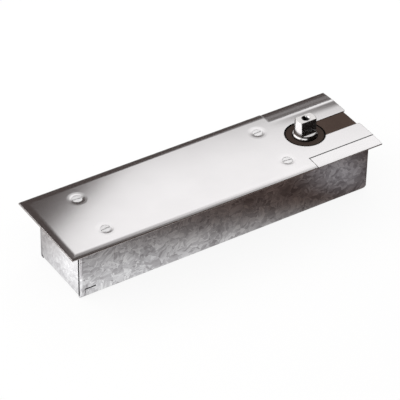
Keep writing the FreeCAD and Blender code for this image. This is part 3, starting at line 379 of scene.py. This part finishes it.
def galvanisedSheet(values):
    material, tree = newMaterial("galvanised steel sheet")
    place = addNode(tree, "ShaderNodeTexCoord").outputs["Object"]
    axes = addNode(tree, "ShaderNodeSeparateXYZ", {0: place}).outputs
    apart, shift = values["warp"]
    warp = {"Vector": place, "Scale": perMetre(apart), "Detail": 2.0, "Roughness": 0.5}
    warp = addNode(tree, "ShaderNodeTexNoise", warp).outputs["Color"]
    warp = addNode(tree, "ShaderNodeVectorMath", {0: warp, 1: noiseMiddle}, operation="SUBTRACT").outputs[0]
    bent = {0: warp, 1: (shift,) * 3, 2: place}
    bent = addNode(tree, "ShaderNodeVectorMath", bent, operation="MULTIPLY_ADD").outputs[0]
    crystal = {"Vector": bent, "Scale": perMetre(values["spangle"])}
    crystal = addNode(tree, "ShaderNodeTexVoronoi", crystal).outputs["Color"]
    tone = addNode(tree, "ShaderNodeSeparateColor", {0: crystal}).outputs

    # blades and hair lines, drawn out along each crystal's own way of growing
    angle = addNode(tree, "ShaderNodeMath", {0: tone["Red"], 1: values["growth"]}, operation="MULTIPLY")
    grown = {"Vector": bent, "Axis": crystal, "Angle": angle.outputs[0]}
    grown = addNode(tree, "ShaderNodeVectorRotate", grown, rotation_type="AXIS_ANGLE").outputs[0]
    drawn = {}
    for part in "blade", "hair":
        long, short = values[part]
        scaled = {0: grown, 1: (perMetre(long), perMetre(short), perMetre(short))}
        drawn[part] = addNode(tree, "ShaderNodeVectorMath", scaled, operation="MULTIPLY").outputs[0]
    blade = addNode(tree, "ShaderNodeTexVoronoi", {"Vector": drawn["blade"], "Scale": 1.0}).outputs["Color"]
    hair = {"Vector": drawn["hair"], "Scale": 1.0, "Detail": 3.0, "Roughness": 0.6}
    hair = addNode(tree, "ShaderNodeTexNoise", hair).outputs["Fac"]

    # tone: a weighted sum, with painted light evening out the left end and painted shade in the seams
    cloud = {"Vector": place, "Scale": perMetre(values["cloud"]), "Detail": 3.0}
    cloud = addNode(tree, "ShaderNodeTexNoise", cloud).outputs["Fac"]
    bladeTone = addNode(tree, "ShaderNodeSeparateColor", {0: blade}).outputs["Blue"]
    grey = 0.0
    for part, reading in ("crystal", tone["Green"]), ("blade", bladeTone), ("hair", hair), ("cloud", cloud):
        grey = {0: reading, 1: values["weights"][part], 2: grey}
        grey = addNode(tree, "ShaderNodeMath", grey, operation="MULTIPLY_ADD").outputs[0]
    start, end = values["spread"]
    spread = {"Value": grey, "From Min": start, "From Max": end}
    spread = addNode(tree, "ShaderNodeMapRange", spread).outputs[0]
    # painted light: the left end's tone is pulled towards a lighter, even one
    paintedEndLight = {0: axes["X"], 1: values["paintedLightPast"]}
    paintedEndLight = addNode(tree, "ShaderNodeMath", paintedEndLight, operation="LESS_THAN").outputs[0]
    paintedEndLight = addNode(tree, "ShaderNodeMath", {0: paintedEndLight, 1: values["paintedLightShare"]}, operation="MULTIPLY").outputs[0]
    spread = addNode(tree, "ShaderNodeMix", {0: paintedEndLight, 2: spread, 3: values["paintedLightTone"]}).outputs[0]
    stops = (0.0, values["dark"]), (0.5, values["middle"]), (1.0, values["pale"])
    colour = addNode(tree, "ShaderNodeValToRGB", {0: spread}, stops).outputs[0]
    shade = paintedJointShade(tree, values["seam"], values["paintedSeamShade"])
    low, high = values["roughness"]
    rough = {"Value": tone["Blue"], "To Min": low, "To Max": high}
    rough = addNode(tree, "ShaderNodeMapRange", rough).outputs[0]

    # normal: rolled over at the folds, leaning a little with each blade, and rough with hair lines
    edge = {"Radius": values["edge"]}
    edge = addNode(tree, "ShaderNodeBevel", edge, samples=nearSamples["edge"]).outputs[0]
    start, end = values["fold"]
    rolled = {"Value": axes["X"], "From Min": start, "From Max": end}
    rolled = addNode(tree, "ShaderNodeMapRange", rolled).outputs[0]
    outside = addNode(tree, "ShaderNodeMath", {0: axes["Y"]}, operation="ABSOLUTE").outputs[0]
    outside = {0: outside, 1: values["foldPast"]}
    outside = addNode(tree, "ShaderNodeMath", outside, operation="GREATER_THAN").outputs[0]
    rolled = addNode(tree, "ShaderNodeMath", {0: rolled, 1: outside}, operation="MULTIPLY").outputs[0]
    rolled = {0: (-1.0, 0.0, 0.0), "Scale": rolled}
    rolled = addNode(tree, "ShaderNodeVectorMath", rolled, operation="SCALE").outputs[0]
    edge = addNode(tree, "ShaderNodeVectorMath", {0: edge, 1: rolled}, operation="ADD").outputs[0]
    lean = addNode(tree, "ShaderNodeVectorMath", {0: blade, 1: noiseMiddle}, operation="SUBTRACT").outputs[0]
    lean = {0: lean, 1: (values["tilt"],) * 3, 2: edge}
    lean = addNode(tree, "ShaderNodeVectorMath", lean, operation="MULTIPLY_ADD").outputs[0]
    lean = addNode(tree, "ShaderNodeVectorMath", {0: lean}, operation="NORMALIZE").outputs[0]
    normal = {"Height": hair, "Strength": values["relief"], "Distance": reliefDepth, "Normal": lean}
    normal = addNode(tree, "ShaderNodeBump", normal).outputs[0]
    closeMaterial(tree, colour, shade, rough, 1.0, normal)
    return material


# along the rear strip the plate dips a little and rises again to the seam, more so towards its end; the
# normal alone shows it
plateDip = {
    "lean": 0.058,
    "along": (0.098, 0.172),  # metres in X, from no dip to the whole of it
    "fall": (0.020, 0.0305),  # metres in Y
    "rise": (0.0312, 0.0345),
    "riseShare": 1.7,
    "seam": 0.0366,  # the strip starts here, and has no dip
}


def dippedNormal(tree, place, normal, values):
    axes = addNode(tree, "ShaderNodeSeparateXYZ", {0: place}).outputs
    start, end = values["along"]
    depth = {"Value": axes["X"], "From Min": start, "From Max": end, "To Max": values["lean"]}
    depth = addNode(tree, "ShaderNodeMapRange", depth).outputs[0]
    slopes = {}
    for part, most in ("fall", 1.0), ("rise", values["riseShare"]):
        start, end = values[part]
        slope = {"Value": axes["Y"], "From Min": start, "From Max": end, "To Max": most}
        slopes[part] = addNode(tree, "ShaderNodeMapRange", slope, interpolation_type="SMOOTHSTEP").outputs[0]
    lean = {0: slopes["fall"], 1: slopes["rise"]}
    lean = addNode(tree, "ShaderNodeMath", lean, operation="SUBTRACT").outputs[0]
    onPlate = {0: axes["Y"], 1: values["seam"]}
    onPlate = addNode(tree, "ShaderNodeMath", onPlate, operation="LESS_THAN").outputs[0]
    depth = addNode(tree, "ShaderNodeMath", {0: depth, 1: onPlate}, operation="MULTIPLY").outputs[0]
    lean = addNode(tree, "ShaderNodeMath", {0: lean, 1: depth}, operation="MULTIPLY").outputs[0]
    lean = addNode(tree, "ShaderNodeCombineXYZ", {"Y": lean}).outputs[0]
    normal = addNode(tree, "ShaderNodeVectorMath", {0: normal, 1: lean}, operation="ADD").outputs[0]
    return addNode(tree, "ShaderNodeVectorMath", {0: normal}, operation="NORMALIZE").outputs[0]


def spindleReach(tree, place):  # how far a point is from the spindle's axis
    flat = {0: place, 1: (1.0, 1.0, 0.0)}
    flat = addNode(tree, "ShaderNodeVectorMath", flat, operation="MULTIPLY").outputs[0]
    reach = {0: flat, 1: spindleAxis}
    return addNode(tree, "ShaderNodeVectorMath", reach, operation="DISTANCE").outputs["Value"]


# painted shade: the wall and the bottom of the spindle's tapped hole are painted nearly black
tappedHoleShade = {
    "radius": 0.00346,
    "oil": 0.05,  # the share of its colour that the steel keeps
}


def oiledHole(tree, place, shade, values):
    reach = spindleReach(tree, place)
    radius = values["radius"]
    # painted shade: nearly black inside the hole's radius
    oil = {"Value": reach, "From Min": radius, "From Max": radius + edgeBlur, "To Min": values["oil"]}
    oil = addNode(tree, "ShaderNodeMapRange", oil).outputs[0]
    return addNode(tree, "ShaderNodeMath", {0: shade, 1: oil}, operation="MINIMUM").outputs[0]


# the dust cap's coat is darker than the filler's, partly its own tone and partly painted shade from the
# spindle; its rim is painted nearly black as shade along the gap round it
capToneAndShade = {
    "radius": 0.0207,  # just past the cap's edge
    "tone": 0.62,
    "rim": (0.0017, 0.0009),  # metres in from there, where the rim starts and where it is darkest
    "rimShade": 0.10,
}


def paintCapToneAndShade(tree, place, shade, values):
    reach = spindleReach(tree, place)
    radius = values["radius"]
    tone = {"Value": reach, "From Min": radius, "From Max": radius + edgeBlur, "To Min": values["tone"]}
    tone = addNode(tree, "ShaderNodeMapRange", tone).outputs[0]
    # painted shade: the rim darkens to nearly black
    start, end = (radius - inwards for inwards in values["rim"])
    rim = {"Value": reach, "From Min": start, "From Max": end, "To Min": 1.0, "To Max": values["rimShade"]}
    rim = addNode(tree, "ShaderNodeMapRange", rim).outputs[0]
    past = addNode(tree, "ShaderNodeMath", {0: reach, 1: radius}, operation="GREATER_THAN").outputs[0]
    rim = addNode(tree, "ShaderNodeMath", {0: rim, 1: past}, operation="MAXIMUM").outputs[0]
    tone = addNode(tree, "ShaderNodeMath", {0: tone, 1: rim}, operation="MULTIPLY").outputs[0]
    return addNode(tree, "ShaderNodeMath", {0: shade, 1: tone}, operation="MULTIPLY").outputs[0]


# plain finishes share one recipe: a fine grain over a slow change of tone, broken edges and painted shade in
# the joints.
# grain is in mm, along and across, and drawn as coarse as it needs to show, because real grinding lines and
# grit are finer; edge and shade are in metres
metals = {
    # satin grinding: a clear mirror with soft borders and a faint grain along the plate
    "stainless_steel": {
        "name": "satin ground stainless steel", "pale": "f3f2f3", "dark": "ecebec", "grain": (14.0, 0.35),
        "roughness": (0.155, 0.165), "bump": 0.02, "edge": 0.0008, "shade": 0.0025, "dip": plateDip,
    },
    # turning: pale and even, with the lamps blurred to one sheen; the low metallic stands for light that
    # the tool marks scatter
    "stainless_screws": {
        "name": "turned stainless steel", "pale": "f6f5f5", "dark": "eeedee", "grain": (0.8, 0.8),
        "roughness": (0.40, 0.46), "bump": 0.05, "metallic": 0.45, "edge": 0.0003,
    },
    # forging, then grinding: close to a mirror, so white and black stand side by side
    "forged_steel": {
        "name": "forged and ground steel", "pale": "f1f0f0", "dark": "e2e0df", "grain": (1.2, 2.4),
        # its shade reaches far: painted shade round the collar and at the foot of the flats
        "roughness": (0.18, 0.24), "bump": 0.01, "edge": 0.0006, "shade": 0.0045, "hole": tappedHoleShade,
    },
    # zinc plating: pale with a trace of yellow and soft highlights
    "zinc_plated_steel": {
        "name": "bright zinc plate on steel", "pale": "dcdcd6", "dark": "b9bab8", "grain": (2.0, 2.0),
        "roughness": (0.22, 0.32), "bump": 0.08, "edge": 0.0003,
    },
    # hardening and grinding: grey, with fine lines one way
    "hardened_steel": {
        "name": "hardened and ground steel", "pale": "bdbcba", "dark": "9b9a99", "grain": (3.0, 0.3),
        "roughness": (0.20, 0.28), "bump": 0.05, "edge": 0.0003,
    },
    # turned casting: dull grey with a close tool grain
    "machined_iron": {
        "name": "turned grey iron", "pale": "a6a4a1", "dark": "7f7d7b", "grain": (0.6, 0.6),
        "roughness": (0.34, 0.44), "bump": 0.15, "edge": 0.0004,
    },
    # turned brass: warm yellow with soft highlights
    "brass": {
        "name": "turned brass", "pale": "d9b873", "dark": "b8924c", "grain": (0.5, 0.5),
        "roughness": (0.22, 0.32), "bump": 0.06, "edge": 0.0003,
    },
    # annealed copper: soft pink-brown, no sharp highlight
    "copper": {
        "name": "annealed copper", "pale": "d18f6c", "dark": "a9644a", "grain": (1.5, 1.5),
        "roughness": (0.30, 0.42), "bump": 0.08, "edge": 0.0002,
    },
    # oiled wire: dark grey with a long highlight on each turn
    "spring_steel": {
        "name": "oiled spring wire", "pale": "6a6869", "dark": "403e40", "grain": (3.0, 0.8),
        "roughness": (0.28, 0.40), "bump": 0.10, "edge": 0.0002,
    },
    # blackening: nearly black with a dim sheen
    "black_steel": {
        "name": "blackened steel", "pale": "3a3838", "dark": "222021", "grain": (1.2, 1.2),
        "roughness": (0.32, 0.45), "bump": 0.10, "edge": 0.0003,
    },
}
coats = {
    # sprayed metallic coat: dark brown, turning light and dark with the lamps
    "dark_trim": {
        "name": "dark brown metallic coat", "pale": "594941", "dark": "4e3f38", "grain": (0.45, 0.45),
        # its shade reaches far: painted shade on the cap round the spindle
        "roughness": (0.28, 0.34), "bump": 0.08, "metallic": 0.9, "edge": 0.0003, "shade": 0.007,
        "cap": capToneAndShade,
    },
    # paint on a sand casting: black and dull over a grainy skin
    "painted_cast_iron": {
        "name": "black paint on sand-cast iron", "pale": "2c2c2e", "dark": "18181a", "grain": (1.3, 1.3),
        "roughness": (0.42, 0.60), "bump": 0.55, "edge": 0.0008,
    },
    # pressed fibre: flat grey-green, like card
    "gasket_paper": {
        "name": "pressed fibre gasket", "pale": "98a08f", "dark": "76806f", "grain": (0.5, 0.5),
        "roughness": (0.80, 0.92), "bump": 0.35, "edge": 0.0001,
    },
    # moulded rubber: nearly black and silky
    "seal_rubber": {
        "name": "moulded nitrile rubber", "pale": "242324", "dark": "161516", "grain": (0.6, 0.6),
        "roughness": (0.48, 0.62), "bump": 0.12, "edge": 0.0002,
    },
}
metalFamily = {
    "cloud": 45.0,  # mm across the slow change of tone
    "grainShare": 0.6,
    "spread": (0.45, 1.15),
    "metallic": 1.0,
    # shade: metres within which a near surface paints shade on the colour; leastShade: the darkest it gets
    "shade": 0.0009,
    "leastShade": 0.15,
}
coatFamily = {**metalFamily, "cloud": 22.0, "grainShare": 0.5, "spread": (0.4, 1.1), "metallic": 0.0}


def plainFinish(values, family):
    values = {**family, **values}
    material, tree = newMaterial(values["name"])
    place = addNode(tree, "ShaderNodeTexCoord").outputs["Object"]
    along, across = values["grain"]
    stretched = {"Vector": place, "Scale": (perMetre(along), perMetre(across), perMetre(across))}
    stretched = addNode(tree, "ShaderNodeMapping", stretched).outputs[0]
    grain = {"Vector": stretched, "Scale": 1.0, "Detail": 4.0, "Roughness": 0.6}
    grain = addNode(tree, "ShaderNodeTexNoise", grain).outputs["Fac"]
    cloud = {"Vector": place, "Scale": perMetre(values["cloud"]), "Detail": 3.0}
    cloud = addNode(tree, "ShaderNodeTexNoise", cloud).outputs["Fac"]
    tone = {0: grain, 1: values["grainShare"], 2: cloud}
    tone = addNode(tree, "ShaderNodeMath", tone, operation="MULTIPLY_ADD").outputs[0]
    start, end = values["spread"]
    spread = {"Value": tone, "From Min": start, "From Max": end}
    spread = addNode(tree, "ShaderNodeMapRange", spread).outputs[0]
    stops = (0.0, values["dark"]), (1.0, values["pale"])
    colour = addNode(tree, "ShaderNodeValToRGB", {0: spread}, stops).outputs[0]
    low, high = values["roughness"]
    rough = addNode(tree, "ShaderNodeMapRange", {"Value": spread, "To Min": high, "To Max": low}).outputs[0]
    normal = {"Radius": values["edge"]}
    normal = addNode(tree, "ShaderNodeBevel", normal, samples=nearSamples["edge"]).outputs[0]
    if "dip" in values:
        normal = dippedNormal(tree, place, normal, values["dip"])
    normal = {"Height": grain, "Strength": values["bump"], "Distance": reliefDepth, "Normal": normal}
    normal = addNode(tree, "ShaderNodeBump", normal).outputs[0]
    shade = paintedJointShade(tree, values["shade"], values["leastShade"])
    if "hole" in values:
        shade = oiledHole(tree, place, shade, values["hole"])
    if "cap" in values:
        shade = paintCapToneAndShade(tree, place, shade, values["cap"])
    closeMaterial(tree, colour, shade, rough, values["metallic"], normal)
    return material


finishes = {"galvanised_steel": galvanisedSheet(galvanised)}
for rows, family in (metals, metalFamily), (coats, coatFamily):
    for slotName, values in rows.items():
        finishes[slotName] = plainFinish(values, family)

slotOf = {row["node"]: row["material_slot"] for row in frame["record"]["subparts"]}
for name, part in frame["nodes"].items():
    part.data.materials.clear()
    part.data.materials.append(finishes[slotOf[name]])
frame["nodes"]["spindle"].visible_glossy = False  # the photo shows no mirror image of it in the plate
print("finishes given to", len(frame["nodes"]), "nodes")

# seam lap: a narrow strip of the same sheet closes the box's seam at the rear left corner
seamLap = {
    "low": (-0.1652, 0.0348, 0.0026),
    "high": (-0.1640, 0.0376, 0.0590),
    "round": 0.0003,  # the sheared edges of the sheet are broken
}


def makeSeamLap(values):
    low = Vector(values["low"])
    high = Vector(values["high"])
    shape = bmesh.new()
    bmesh.ops.create_cube(shape, size=1.0)
    bmesh.ops.scale(shape, vec=high - low, verts=shape.verts)
    bmesh.ops.translate(shape, vec=(low + high) / 2, verts=shape.verts)
    bmesh.ops.bevel(
        shape, geom=shape.edges[:], offset=values["round"],
        affect="EDGES", segments=2, profile=0.5, material=-1,
    )
    lap = addPiece("seam_lap", shape, finishes["galvanised_steel"])
    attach(lap, "housing")


makeSeamLap(seamLap)
print("seam lap made")

# closing spring: a copy of the imported coil, with its loose triangles merged, in place of the original
springValues = {
    "travel": 0.0121,  # metres, the piston's slide
    "merge": 1e-6,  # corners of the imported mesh's loose triangles that are this near are one
}


def makeClosingSpring(values):
    shape = bmesh.new()
    shape.from_mesh(frame["nodes"]["closing_spring"].data)
    bmesh.ops.remove_doubles(shape, verts=shape.verts, dist=values["merge"])
    spring = addPiece("pressed_spring", shape, finishes["spring_steel"])
    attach(spring, "housing")
    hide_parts("closing_spring")
    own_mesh(spring)


makeClosingSpring(springValues)
print("closing spring made")
